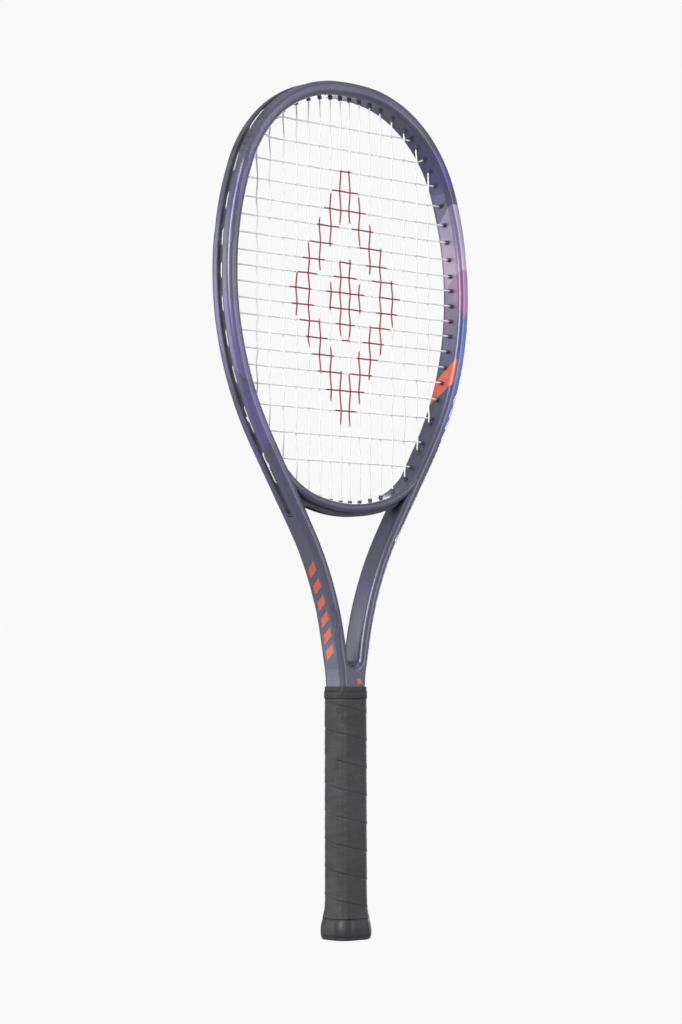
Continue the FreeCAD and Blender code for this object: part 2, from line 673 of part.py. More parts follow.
# trap door: lid with two snap legs and a finger notch
door = oct_prism(door_hx, door_hy, 0.4, 2.6)
for s in (1, -1):
    door = door.fuse(Part.makeBox(1.6, 7.0, 4.8, V(s * 8.2 - 0.8, -3.5, 2.2)))
door = door.cut(Part.makeBox(5.0, 2.0, 1.2, V(-2.5, -door_hy - 0.1, 0.3)))
save("butt_cap_door", door.removeSplitter())

# base grip: one tape wound up the handle, drawn as a sleeve with a stepped seam at each turn
outer_c = oct_loft([(GRIP_BOTTOM, 17.6, 16.2), (19.0, 16.9, 15.6), (24.0, 16.1, 14.8), (CAP_TOP, GRIP_X / 2.0 + 0.2, GRIP_Y / 2.0 + 0.2),
                    (CAP_TOP + 6.0, GRIP_X / 2.0, GRIP_Y / 2.0)])
outer_c = outer_c.fuse([oct_prism(GRIP_X / 2.0, GRIP_Y / 2.0, CAP_TOP + 6.0, GRIP_STEP),
                        oct_prism(GRIP_X / 2.0 - 0.8, GRIP_Y / 2.0 - 0.8, GRIP_STEP - 1.0, GRIP_TOP)])
grip = outer_c.cut(cap_out)
grip = grip.cut(oct_prism(px + 0.05, py + 0.05, CAP_TOP - 6.0, GRIP_TOP + 1))
grip = grip.cut(cap_crown_cut)
seam_list = []
z = 34.0
while z < GRIP_STEP - 6.0:
    ringp = oct_prism(GRIP_X / 2.0 + 3, GRIP_Y / 2.0 + 3, -0.35, 0.35).cut(oct_prism(GRIP_X / 2.0 - 0.45, GRIP_Y / 2.0 - 0.45, -1.0, 1.0))
    ringp.rotate(V(0, 0, 0), V(1, 0, 0), 12.0)
    ringp.translate(V(0, 0, z))
    seam_list.append(ringp)
    z += WRAP_PITCH
grip = grip.cut(Part.makeCompound(seam_list))
save("base_grip", max(grip.Solids, key=lambda q: q.Volume))

tape = oct_prism(GRIP_X / 2.0 - 0.53, GRIP_Y / 2.0 - 0.53, 190.7, 193.8).cut(oct_prism(GRIP_X / 2.0 - 0.78, GRIP_Y / 2.0 - 0.78, 180, 195))
save("grip_finishing_tape", tape)

# rubber collar over the top edge of the grip, with a neck round the shaft
col = oct_prism(GRIP_X / 2.0 + 0.35, GRIP_Y / 2.0 + 0.35, 190.6, 196.4)
neck = Part.makeBox(2 * 14.1, 2 * 12.3, 4.0, V(-14.1, -12.3, 196.2))
neck = neck.makeFillet(4.9, [e for e in neck.Edges if e.BoundBox.ZLength > 3])
col = col.fuse(neck)
bore_low = oct_prism(GRIP_X / 2.0 - 0.25, GRIP_Y / 2.0 - 0.25, 190.0, 195.2)
bore_up = Part.makeBox(2 * 13.5, 2 * 11.75, 12, V(-13.5, -11.75, 194.0))
bore_up = bore_up.makeFillet(4.3, [e for e in bore_up.Edges if e.BoundBox.ZLength > 3])
col = col.cut(bore_low.fuse(bore_up)).removeSplitter()
save("grip_collar", col)
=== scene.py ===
import json
import math
import bpy
import bmesh
import numpy as np
from mathutils import Vector, Matrix


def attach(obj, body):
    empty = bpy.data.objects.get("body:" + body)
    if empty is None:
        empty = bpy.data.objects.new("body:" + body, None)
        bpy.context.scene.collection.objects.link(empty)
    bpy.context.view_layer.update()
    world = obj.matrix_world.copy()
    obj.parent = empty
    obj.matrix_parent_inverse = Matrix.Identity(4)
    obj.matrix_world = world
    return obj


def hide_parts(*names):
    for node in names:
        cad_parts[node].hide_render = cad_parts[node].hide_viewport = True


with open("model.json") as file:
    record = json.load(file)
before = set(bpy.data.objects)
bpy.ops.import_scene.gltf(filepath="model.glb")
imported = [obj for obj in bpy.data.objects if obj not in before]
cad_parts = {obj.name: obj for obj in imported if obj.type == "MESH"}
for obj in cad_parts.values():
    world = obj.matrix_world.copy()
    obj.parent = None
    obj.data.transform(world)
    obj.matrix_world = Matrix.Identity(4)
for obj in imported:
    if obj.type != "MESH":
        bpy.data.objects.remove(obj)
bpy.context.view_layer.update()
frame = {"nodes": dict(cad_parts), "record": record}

NODES = frame["nodes"]
MM = 0.001


# =====================================================================  small node helpers
class Nodes:
    def __init__(self, name):
        self.mat = bpy.data.materials.new(name)
        self.mat.use_nodes = True
        self.nt = self.mat.node_tree
        self.nt.nodes.clear()
        self.out = self.nt.nodes.new("ShaderNodeOutputMaterial")
        self.bsdf = self.nt.nodes.new("ShaderNodeBsdfPrincipled")
        self.nt.links.new(self.bsdf.outputs[0], self.out.inputs[0])
        self.co = self.nt.nodes.new("ShaderNodeTexCoord")
        sc = self.nt.nodes.new("ShaderNodeVectorMath")
        sc.operation = "SCALE"
        sc.inputs["Scale"].default_value = 1000.0
        self.nt.links.new(self.co.outputs["Object"], sc.inputs[0])
        self.P = sc.outputs[0]                    # position in millimetres
        sep = self.nt.nodes.new("ShaderNodeSeparateXYZ")
        self.nt.links.new(self.P, sep.inputs[0])
        self.X, self.Y, self.Z = sep.outputs
        sn = self.nt.nodes.new("ShaderNodeSeparateXYZ")
        self.nt.links.new(self.co.outputs["Normal"], sn.inputs[0])
        self.NX, self.NY, self.NZ = sn.outputs

    def set(self, **kw):
        for k, v in kw.items():
            s = self.bsdf.inputs[k.replace("_", " ")]
            if hasattr(v, "is_output") or isinstance(v, bpy.types.NodeSocket):
                self.nt.links.new(v, s)
            else:
                s.default_value = v
        return self

    def m(self, op, a, b=None, c=None, clamp=False):
        n = self.nt.nodes.new("ShaderNodeMath")
        n.operation = op
        n.use_clamp = clamp
        for i, v in enumerate((a, b, c)):
            if v is None:
                continue
            if isinstance(v, bpy.types.NodeSocket):
                self.nt.links.new(v, n.inputs[i])
            else:
                n.inputs[i].default_value = v
        return n.outputs[0]

    def mix(self, f, a, b, mode="MIX"):
        n = self.nt.nodes.new("ShaderNodeMix")
        n.data_type = "RGBA"
        n.blend_type = mode
        for s, v in ((n.inputs["Factor"], f), (n.inputs[6], a), (n.inputs[7], b)):
            if isinstance(v, bpy.types.NodeSocket):
                self.nt.links.new(v, s)
            elif isinstance(v, (tuple, list)):
                s.default_value = (*v[:3], 1.0)
            else:
                s.default_value = v
        return n.outputs[2]

    def rng(self, v, lo, hi, a=0.0, b=1.0, smooth=True):
        n = self.nt.nodes.new("ShaderNodeMapRange")
        n.interpolation_type = "SMOOTHSTEP" if smooth else "LINEAR"
        self.nt.links.new(v, n.inputs[0])
        for i, x in zip((1, 2, 3, 4), (lo, hi, a, b)):
            n.inputs[i].default_value = x
        return n.outputs[0]

    def vec(self, scale=(1, 1, 1), src=None):
        n = self.nt.nodes.new("ShaderNodeVectorMath")
        n.operation = "MULTIPLY"
        self.nt.links.new(src or self.P, n.inputs[0])
        n.inputs[1].default_value = scale
        return n.outputs[0]

    def noise(self, scale, detail=3.0, rough=0.55, src=None, dist=0.0):
        n = self.nt.nodes.new("ShaderNodeTexNoise")
        self.nt.links.new(src or self.P, n.inputs["Vector"])
        n.inputs["Scale"].default_value = scale
        n.inputs["Detail"].default_value = detail
        n.inputs["Roughness"].default_value = rough
        n.inputs["Distortion"].default_value = dist
        return n.outputs[0]

    def voro(self, scale, feature="F1", src=None, rnd=1.0):
        n = self.nt.nodes.new("ShaderNodeTexVoronoi")
        n.feature = feature
        self.nt.links.new(src or self.P, n.inputs["Vector"])
        n.inputs["Scale"].default_value = scale
        n.inputs["Randomness"].default_value = rnd
        return n.outputs[0]

    def ramp(self, f, stops, mode="LINEAR"):
        n = self.nt.nodes.new("ShaderNodeValToRGB")
        n.color_ramp.interpolation = mode
        e = n.color_ramp.elements
        e[0].position, e[0].color = stops[0][0], (*stops[0][1], 1)
        e[1].position, e[1].color = stops[-1][0], (*stops[-1][1], 1)
        for p, c in stops[1:-1]:
            q = e.new(p)
            q.color = (*c, 1)
        self.nt.links.new(f, n.inputs[0])
        return n.outputs[0]

    def bump(self, h, strength=0.3, dist=0.1, prev=None):
        n = self.nt.nodes.new("ShaderNodeBump")
        n.inputs["Strength"].default_value = strength
        n.inputs["Distance"].default_value = dist * MM
        self.nt.links.new(h, n.inputs["Height"])
        if prev is not None:
            self.nt.links.new(prev, n.inputs["Normal"])
        self.nt.links.new(n.outputs[0], self.bsdf.inputs["Normal"])
        return n.outputs[0]

    def inside(self, v, lo, hi, soft=0.25):
        a = self.rng(v, lo - soft, lo + soft)
        b = self.rng(v, hi - soft, hi + soft, 1.0, 0.0)
        return self.m("MULTIPLY", a, b)


def srgb(r, g, b):
    def f(c):
        c /= 255.0
        return c / 12.92 if c <= 0.04045 else ((c + 0.055) / 1.055) ** 2.4
    return (f(r), f(g), f(b))


# =====================================================================  materials
def frame_paint():
    N = Nodes("frame_paint")
    slate = srgb(92, 90, 110)
    slate_d = srgb(74, 72, 91)
    sx = N.m("SIGN", N.X)
    side = N.m("GREATER_THAN", N.X, 0.0)
    nout = N.m("MULTIPLY", N.NX, sx)                  # + outward, - towards the strings
    base = N.mix(N.rng(N.noise(0.012, 2.0), 0.35, 0.65), slate_d, slate)
    base = N.mix(N.rng(N.Z, 260.0, 420.0, 0.0, 0.75), srgb(87, 86, 103), base)
    # slanted cut lines
    t1 = N.m("MULTIPLY_ADD", N.Y, 0.85, N.Z)
    t2 = N.m("MULTIPLY_ADD", N.Y, -1.25, N.Z)
    # right side of the head
    col = base
    blue = N.mix(N.rng(t2, 408, 492), srgb(86, 92, 122), srgb(98, 118, 176))
    col = N.mix(N.inside(t1, 404, 496), col, blue)
    mauve = N.mix(N.inside(t2, 508, 524, 3.0), srgb(172, 120, 160), srgb(142, 112, 156))
    col = N.mix(N.inside(t1, 496, 536), col, mauve)
    pearl = N.mix(N.rng(t2, 536, 590), srgb(206, 180, 200), srgb(160, 150, 180))
    col = N.mix(N.inside(t1, 536, 590), col, pearl)
    col = N.mix(N.inside(t1, 603, 632), col, srgb(78, 70, 132))
    col = N.mix(N.inside(t2, 640, 655), col, srgb(84, 78, 124))
    inner = N.rng(nout, -0.45, -0.1, 1.0, 0.0)
    right = N.mix(N.m("MULTIPLY", inner, N.rng(t2, 505, 545, 0.86, 0.6)), col, slate_d)
    # left side of the head
    lc = base
    lc = N.mix(N.inside(t2, 452, 512), lc, srgb(98, 91, 130))
    lc = N.mix(N.inside(t2, 424, 447), lc, srgb(88, 84, 118))
    lc = N.mix(N.inside(t1, 380, 418), lc, srgb(98, 90, 136))
    lc = N.mix(N.inside(t1, 560, 596), lc, srgb(84, 81, 112))
    lc = N.mix(N.inside(t2, 612, 634), lc, srgb(86, 83, 116))
    left = N.mix(N.m("MULTIPLY", inner, 0.9), lc, base)
    col = N.mix(side, left, right)
    # generic coral slashes: one block on the head, a row of bars down each arm
    coral = srgb(208, 98, 72)
    blk = N.m("MULTIPLY", N.inside(N.m("MULTIPLY_ADD", N.Y, 0.9, N.Z), 440, 461),
              N.m("MULTIPLY", N.rng(nout, -0.6, -0.35, 1.0, 0.0), side))
    col = N.mix(blk, col, coral)
    bars_t = N.m("MULTIPLY_ADD", N.Y, 0.7, N.Z)
    fr = N.m("FRACT", N.m("DIVIDE", N.m("SUBTRACT", bars_t, 223.0), 13.0))
    bars = N.m("MULTIPLY", N.inside(fr, 0.08, 0.62, 0.02), N.inside(bars_t, 223.0, 301.0))
    bars = N.m("MULTIPLY", bars, N.inside(N.Y, -4.6, 4.6))
    bars = N.m("MULTIPLY", bars, N.rng(nout, 0.5, 0.6))
    col = N.mix(bars, col, coral)
    mark = N.m("MULTIPLY", N.inside(N.m("MULTIPLY_ADD", N.Z, 0.35, N.X), 71.0 + 2.6, 71.0 + 7.2, 0.2), N.inside(N.Z, 202.2, 206.4, 0.2))
    mark = N.m("MULTIPLY", mark, N.rng(N.NY, -0.8, -0.6, 1.0, 0.0))
    col = N.mix(mark, col, coral)
    # flake and soft cloudiness in the paint
    flake = N.rng(N.voro(2.6), 0.0, 0.35, 1.0, 0.0)
    col = N.mix(N.m("MULTIPLY", flake, 0.10), col, srgb(190, 190, 215))
    col = N.mix(N.rng(N.noise(0.35, 4.0), 0.45, 0.75, 0.0, 0.12), col, slate_d)
    rough = N.rng(N.noise(0.9, 4.0), 0.3, 0.7, 0.34, 0.46)
    N.set(Base_Color=col, Roughness=rough, Metallic=0.45, Coat_Weight=0.45, Coat_Roughness=0.24)
    N.bump(N.noise(2.2, 3.0), 0.12, 0.02)
    return N.mat


def guard_nylon():
    N = Nodes("guard_nylon")
    c = N.mix(N.rng(N.noise(0.05, 3.0), 0.35, 0.7), srgb(62, 61, 70), srgb(82, 81, 92))
    scuff = N.rng(N.noise(0.9, 5.0, src=N.vec((1, 0.25, 1))), 0.62, 0.74, 0.0, 0.35)
    top = N.rng(N.Z, 655, 684)
    c = N.mix(N.m("MULTIPLY", scuff, top), c, srgb(128, 128, 126))
    N.set(Base_Color=c, Roughness=N.rng(N.noise(1.3, 3.0), 0.3, 0.7, 0.48, 0.66))
    b = N.bump(N.noise(5.0, 2.0), 0.3, 0.05)
    N.bump(N.noise(0.4, 2.0), 0.15, 0.15, b)
    return N.mat


def string_mat():
    N = Nodes("string_coating")
    ax = N.m("ABSOLUTE", N.X)
    wob = N.m("MULTIPLY", N.m("SUBTRACT", N.noise(0.25, 2.0), 0.5), 0.10)
    # open lozenge with a solid core: a plain geometric stencil
    dz = N.m("ABSOLUTE", N.m("SUBTRACT", N.Z, 512.0))
    d = N.m("ADD", N.m("ADD", N.m("DIVIDE", ax, 62.0), N.m("DIVIDE", dz, 112.0)), wob)
    ring = N.inside(d, 0.62, 1.0, 0.012)
    core = N.inside(d, -1.0, 0.36, 0.012)
    ink = N.m("MAXIMUM", ring, core)
    ink = N.m("MULTIPLY", ink, N.rng(N.noise(1.6, 3.0), 0.22, 0.42, 0.86, 1.0))
    white = N.mix(N.rng(N.noise(0.08, 2.0), 0.3, 0.7), srgb(216, 217, 215), srgb(232, 232, 229))
    col = N.mix(ink, white, N.mix(N.noise(0.6, 2.0), srgb(118, 4, 26), srgb(142, 8, 34)))
    N.set(Base_Color=col, Roughness=N.rng(N.noise(1.2, 3.0), 0.3, 0.7, 0.26, 0.42), Coat_Weight=0.1, Coat_Roughness=0.2,
          Subsurface_Weight=0.05)
    w = N.nt.nodes.new("ShaderNodeTexWave")
    w.wave_type = "BANDS"
    w.bands_direction = "DIAGONAL"
    w.inputs["Scale"].default_value = 1.4
    w.inputs["Distortion"].default_value = 0.6
    N.nt.links.new(N.P, w.inputs["Vector"])
    N.bump(w.outputs[1], 0.12, 0.03)
    return N.mat


def grip_mat():
    N = Nodes("grip_tape")
    c = N.mix(N.rng(N.noise(0.05, 4.0, dist=0.4), 0.3, 0.7), srgb(42, 42, 43), srgb(56, 55, 56))
    c = N.mix(N.rng(N.noise(0.7, 4.0), 0.5, 0.8, 0.0, 0.35), c, srgb(70, 69, 68))
    # fine pores: pin-hole dents in the bump, with painted shade darkening inside each hole
    uv = N.vec((1, 1, 1))
    pore_holes_and_shade = N.rng(N.voro(0.62, rnd=0.25, src=uv), 0.06, 0.16, 1.0, 0.0)
    # painted shade: each pore darkened towards near-black where shade falls in the hole
    c = N.mix(N.m("MULTIPLY", pore_holes_and_shade, 0.6), c, srgb(16, 16, 16))
    N.set(Base_Color=c, Roughness=N.rng(N.noise(0.9, 4.0), 0.3, 0.7, 0.50, 0.68), Sheen_Weight=0.25, Sheen_Roughness=0.4,
          Specular_IOR_Level=0.42)
    b = N.bump(N.m("ADD", N.noise(2.4, 4.0), N.m("MULTIPLY", pore_holes_and_shade, -0.9)), 0.26, 0.12)
    N.bump(N.noise(0.16, 3.0, dist=0.8), 0.35, 0.7, b)
    return N.mat


def moulded(name, a, b, rough=(0.38, 0.52), grain=3.0, strength=0.25):
    N = Nodes(name)
    c = N.mix(N.rng(N.noise(0.08, 3.0), 0.35, 0.7), a, b)
    c = N.mix(N.rng(N.noise(1.4, 4.0), 0.6, 0.8, 0.0, 0.25), c, tuple(min(1.0, v * 2.2) for v in b))
    N.set(Base_Color=c, Roughness=N.rng(N.noise(1.0, 3.0), 0.3, 0.7, *rough))
    N.bump(N.noise(grain, 3.0), strength, 0.05)
    return N.mat


def steel():
    N = Nodes("staple_steel")
    N.set(Base_Color=N.mix(N.noise(0.5), (0.5, 0.5, 0.5), (0.7, 0.7, 0.7)), Metallic=1.0,
          Roughness=N.rng(N.noise(3.0, src=N.vec((0.2, 4, 4))), 0.3, 0.7, 0.2, 0.4))
    N.bump(N.noise(6.0), 0.1, 0.02)
    return N.mat


M_PAINT, M_NYLON, M_STRING, M_GRIP = frame_paint(), guard_nylon(), string_mat(), grip_mat()
M_CAP = moulded("butt_cap_plastic", srgb(34, 34, 35), srgb(44, 44, 46))
M_RUBBER = moulded("collar_rubber", srgb(30, 30, 31), srgb(40, 40, 41), (0.5, 0.62), 2.0, 0.3)
M_TAPE = moulded("finishing_tape", srgb(28, 28, 29), srgb(38, 38, 40), (0.32, 0.42), 1.2, 0.15)
M_FOAM = moulded("pallet_foam", srgb(160, 146, 118), srgb(182, 168, 140), (0.7, 0.85), 0.9, 0.5)
M_STEEL = steel()

SLOT_OF = {"frame_paint": M_PAINT, "guard_nylon": M_NYLON, "string": M_STRING, "pallet_foam": M_FOAM, "cap_plastic": M_CAP,
           "staple_steel": M_STEEL, "grip_tape": M_GRIP, "tape": M_TAPE, "collar_rubber": M_RUBBER}
for sp in frame["record"]["subparts"]:
    o = NODES[sp["node"]]
    if not o.data.materials:
        o.data.materials.append(None)
    for i in range(len(o.material_slots)):
        o.material_slots[i].link = "OBJECT"
        o.material_slots[i].material = SLOT_OF[sp["material_slot"]]


# =====================================================================  mesh helpers
def new_mesh(name, verts, faces, mat, body, node=None, smooth=True):
    me = bpy.data.meshes.new(name)
    me.from_pydata([tuple(float(c) * MM for c in v) for v in verts], [], [tuple(int(i) for i in f) for f in faces])
    me.validate()
    bm = bmesh.new()
    bm.from_mesh(me)
    bmesh.ops.remove_doubles(bm, verts=bm.verts, dist=2e-6)
    bmesh.ops.recalc_face_normals(bm, faces=bm.faces)
    bm.to_mesh(me)
    bm.free()
    ob = bpy.data.objects.new(name, me)
    bpy.context.scene.collection.objects.link(ob)
    me.materials.append(mat)
    if smooth:
        for p in me.polygons:
            p.use_smooth = True
    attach(ob, body)
    if node:
        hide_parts(*([node] if isinstance(node, str) else node))
    return ob


def octagon(hx, hy, rc=2.2, n=128, k=0.38):
    """Rounded handle octagon as n points, counter-clockwise from +X."""
    cx, cy = hx * k * 1.05, hy * k * 1.15
    P = np.array([(hx, -hy + cy), (hx, hy - cy), (hx - cx, hy), (-hx + cx, hy), (-hx, hy - cy), (-hx, -hy + cy),
                  (-hx + cx, -hy), (hx - cx, -hy)], float)
    pts = []
    m = len(P)
    for i in range(m):
        a, b, c = P[i - 1], P[i], P[(i + 1) % m]
        da, dc = a - b, c - b
        la, lc = np.hypot(*da), np.hypot(*dc)
        r = min(rc, 0.48 * la, 0.48 * lc)
        p0, p2 = b + da / la * r, b + dc / lc * r
        for t in np.linspace(0, 1, 7):
            pts.append((1 - t) ** 2 * p0 + 2 * t * (1 - t) * b + t * t * p2)
    pts = np.array(pts)
    ang = np.unwrap(np.arctan2(pts[:, 1], pts[:, 0]))
    # sample evenly by arc length, starting on the +X axis
    loop = np.vstack([pts, pts[:1]])
    s = np.r_[0, np.cumsum(np.hypot(*np.diff(loop, axis=0).T))]
    # arc position where y = 0, x > 0
    s0 = None
    for i in range(len(loop) - 1):
        if loop[i, 1] <= 0 < loop[i + 1, 1] and loop[i, 0] > 0:
            f = -loop[i, 1] / (loop[i + 1, 1] - loop[i, 1])
            s0 = s[i] + f * (s[i + 1] - s[i])
    q = (s0 + np.arange(n) / n * s[-1]) % s[-1]
    return np.c_[np.interp(q, s, loop[:, 0]), np.interp(q, s, loop[:, 1])]


def loft(rings):
    """rings: list of (n, 3) arrays joined in order."""
    n = len(rings[0])
    V_, F_ = [], []
    for r in rings:
        V_.extend(r.tolist())
    for k in range(len(rings) - 1):
        for j in range(n):
            a, b = k * n + j, k * n + (j + 1) % n
            F_.append((a, b, b + n, a + n))
    return V_, F_


def ring3(xy, z):
    return np.c_[xy, np.full(len(xy), z)]


# =====================================================================  grip wrap
GX, GY = 15.6, 14.3
G_LO, G_HI, PITCH = 17.3, 193.8, 22.0
_zz = np.array([10.0, 17.0, 19.0, 24.0, 27.0, 32.0, 190.1, 190.5, 200.0])
_hx = np.array([18.4, 17.6, 16.9, 16.1, 15.8, 15.6, 15.6, 14.85, 14.85])
_hy = np.array([17.0, 16.2, 15.6, 14.8, 14.5, 14.3, 14.3, 13.55, 13.55])


def grip_half(z):
    return np.interp(z, _zz, _hx), np.interp(z, _zz, _hy)


def build_grip():
    n, rows_turn = 128, 28
    dz = PITCH / rows_turn
    unit = octagon(1.0, GY / GX, 0.15, n)             # shape scaled by the half width
    prof = []
    for k in range(rows_turn):
        p = k / rows_turn
        if p < 0.035:
            h = -0.62 + 0.5 * (1 - math.cos(math.pi * p / 0.035)) * 0.40
        else:
            h = 0.0
        # the lap sits proud at its lower edge and sinks towards the next one
        lap = 0.10 * math.exp(-((p - 0.06) / 0.04) ** 2)
        prof.append(h + lap - 0.20 * p)
    k0 = int(math.floor((G_LO - PITCH) / dz)) - 2
    k1 = int(math.ceil((G_HI + PITCH) / dz)) + 2
    rng = np.random.default_rng(5)
    ph = rng.uniform(0, 2 * math.pi, 12)
    V_, idx = [], {}
    for k in range(k0, k1 + 1):
        for j in range(n + 1):
            if j == n:
                continue
            z = k * dz - PITCH * j / n
            zc = min(max(z, G_LO), G_HI)
            hx, hy = grip_half(zc)
            x, y = unit[j] * np.array([hx, hy * GX / GY])
            r = math.hypot(x, y)
            th = math.atan2(y, x)
            w = 0.05 * math.sin(0.31 * zc + 2 * th + ph[0]) + 0.045 * math.sin(0.83 * zc - 3 * th + ph[1]) \
                + 0.03 * math.sin(1.7 * zc + 5 * th + ph[2])
            d = prof[k % rows_turn] + w
            idx[(k, j)] = len(V_)
            V_.append((x + x / r * d, y + y / r * d, zc))
    F_ = []
    for k in range(k0, k1):
        for j in range(n):
            if j < n - 1:
                q = (idx[(k, j)], idx[(k, j + 1)], idx[(k + 1, j + 1)], idx[(k + 1, j)])
            else:
                a, b = k - rows_turn * 0, k + 1
                # crossing the start of the turn: one pitch lower
                ka, kb = k - rows_turn, k + 1 - rows_turn
                if (ka, 0) not in idx or (kb, 0) not in idx:
                    continue
                q = (idx[(k, j)], idx[(ka, 0)], idx[(kb, 0)], idx[(k + 1, j)])
            zs = [V_[i][2] for i in q]
            if max(zs) - min(zs) < 1e-9:
                continue
            F_.append(q)
    ob = new_mesh("grip_wrap", V_, F_, M_GRIP, "racket", "base_grip")
    bm = bmesh.new()
    bm.from_mesh(ob.data)
    be = [e for e in bm.edges if e.is_boundary]
    r = bmesh.ops.extrude_edge_only(bm, edges=be)
    for v in [g for g in r["geom"] if isinstance(g, bmesh.types.BMVert)]:
        rr = math.hypot(v.co.x, v.co.y)
        v.co.x *= (rr - 1.2 * MM) / rr
        v.co.y *= (rr - 1.2 * MM) / rr
    bmesh.ops.recalc_face_normals(bm, faces=bm.faces)
    bm.to_mesh(ob.data)
    bm.free()
    for p in ob.data.polygons:
        p.use_smooth = True
    return ob


# winding runs the other way round when seen from above, so the seam falls to the right
build_grip()


# =====================================================================  butt cap
def build_cap():
    n = 128
    prof = [(3.2, 10.85, 9.75, 1.0), (0.5, 10.85, 9.75, 1.0), (0.15, 11.1, 10.0, 1.2), (0.0, 11.6, 10.5, 1.4),
            (0.0, 15.6, 14.1, 3.0), (0.1, 16.5, 15.0, 3.6), (0.4, 17.25, 15.75, 4.2), (0.95, 17.9, 16.4, 4.6), (1.8, 18.35, 16.85, 4.8),
            (2.05, 18.2, 16.7, 4.8), (2.4, 18.22, 16.72, 4.8), (2.65, 18.55, 17.05, 4.8),
            (5.0, 18.75, 17.25, 5.0), (7.5, 18.8, 17.3, 5.0), (10.0, 18.7, 17.2, 5.0), (12.0, 18.35, 16.9, 5.0),
            (14.0, 17.95, 16.5, 4.8), (16.6, 17.3, 15.9, 4.8), (17.4, 16.4, 15.0, 4.6), (20.0, 15.7, 14.4, 4.2), (23.0, 15.1, 13.8, 3.6)]
    rings = [ring3(octagon(hx, hy, rc, n), z) for z, hx, hy, rc in prof]
    v, f = loft(rings)
    ob = new_mesh("butt_cap_shell", v, f, M_CAP, "racket", "butt_cap")
    return ob


build_cap()


# =====================================================================  rubber collar
def build_collar():
    n = 128
    prof = [(194.9, 15.36, 14.06, 0.35, 0.38), (190.7, 15.38, 14.08, 0.35, 0.38), (190.6, 15.55, 14.25, 2.2, 0.38), (190.7, 15.8, 14.5, 2.4, 0.38),
            (191.2, 15.95, 14.65, 2.4, 0.38), (194.8, 15.95, 14.65, 2.5, 0.38), (195.7, 15.8, 14.4, 2.8, 0.36), (196.2, 15.4, 13.9, 3.4, 0.30),
            (196.5, 14.7, 12.9, 4.0, 0.25), (196.9, 14.3, 12.5, 4.4, 0.21), (197.5, 14.15, 12.35, 4.6, 0.20), (199.6, 14.12, 12.32, 4.6, 0.20),
            (200.0, 14.02, 12.22, 4.6, 0.195), (200.2, 13.9, 12.08, 4.5, 0.18), (200.1, 13.65, 11.9, 4.4, 0.165), (195.2, 13.6, 11.85, 4.4, 0.165)]
    rings = [ring3(octagon(hx, hy, rc, n, k), z) for z, hx, hy, rc, k in prof]
    v, f = loft(rings)
    ob = new_mesh("collar_rubber_ring", v, f, M_RUBBER, "collar", "grip_collar")
    return ob


build_collar()

# =====================================================================  strings
LENGTH, HOOP_W = 685.8, 11.3
HOOP_ARCS = [(229.0, 4.27), (107.45, 65.26), (248.15, 52.47)]
ARM_LINE = 75.0
BRIDGE_Z, BRIDGE_R1, BRIDGE_R2, BRIDGE_A, BR_T = 346.2, 130.0, 70.0, 17.0, 7.0
CHANNEL_D, STRIP_FLOOR = 3.4, 1.0
STRING_R, WEAVE, EXIT_Y = 0.64, 0.67, 0.78
MAIN_X = [5.0, 15.6, 27.0, 38.8, 51.9, 65.4, 79.65, 92.8]
CROSS_Z = [650.3, 632.4, 614.7, 598.4, 583.0, 568.9, 554.6, 540.8, 528.8, 516.1,
           503.3, 490.7, 477.8, 464.4, 451.2, 437.1, 420.9, 400.5, 379.6]


def build_curve():
    segs = []
    cx, cz = 0.0, LENGTH - HOOP_W / 2.0 - HOOP_ARCS[0][0]
    phi, u = 0.0, 0.0
    for i, (r, deg) in enumerate(HOOP_ARCS):
        if i:
            pr = HOOP_ARCS[i - 1][0]
            cx += (pr - r) * math.sin(phi)
            cz += (pr - r) * math.cos(phi)
        dphi = math.radians(deg)
        segs.append(("arc", u, u + r * dphi, cx, cz, r, phi))
        u += r * dphi
        phi += dphi
    r = HOOP_ARCS[-1][0]
    segs.append(("line", u, u + ARM_LINE, cx + r * math.sin(phi), cz + r * math.cos(phi), 0.0, phi))
    return segs


CURVE = build_curve()
U_ARC_END = CURVE[2][2]


def at(u, off):
    s = -1.0 if u < 0 else 1.0
    a = abs(u)
    for kind, u0, u1, x, z, r, phi in CURVE:
        if a <= u1 + 1e-9 or kind == "line":
            if kind == "arc":
                p = phi + (a - u0) / r
                n = (math.sin(p), math.cos(p))
                return s * (x + (r + off) * n[0]), z + (r + off) * n[1], s * n[0], n[1]
            n = (math.sin(phi), math.cos(phi))
            t = (math.cos(phi), -math.sin(phi))
            d = a - u0
            return s * (x + t[0] * d + off * n[0]), z + t[1] * d + off * n[1], s * n[0], n[1]


def solve(func, lo, hi):
    a, b = lo, hi
    fa = func(a)
    for _ in range(60):
        m = 0.5 * (a + b)
        fm = func(m)
        if (fa < 0) == (fm < 0):
            a, fa = m, fm
        else:
            b = m
    return 0.5 * (a + b)


TIP = -HOOP_W / 2.0 - 2.4
EXIT_OFF = HOOP_W / 2.0 - CHANNEL_D + STRIP_FLOOR + STRING_R + 0.12
SHOULDER = {("m", 6): 45.0, ("m", 7): 58.0, ("c", 0): 39.3, ("c", 1): 51.2}


def u_of_phi(deg):
    p = math.radians(deg)
    for kind, u0, u1, x, z, r, phi in CURVE[:3]:
        if p <= phi + (u1 - u0) / r + 1e-9:
            return u0 + (p - phi) * r


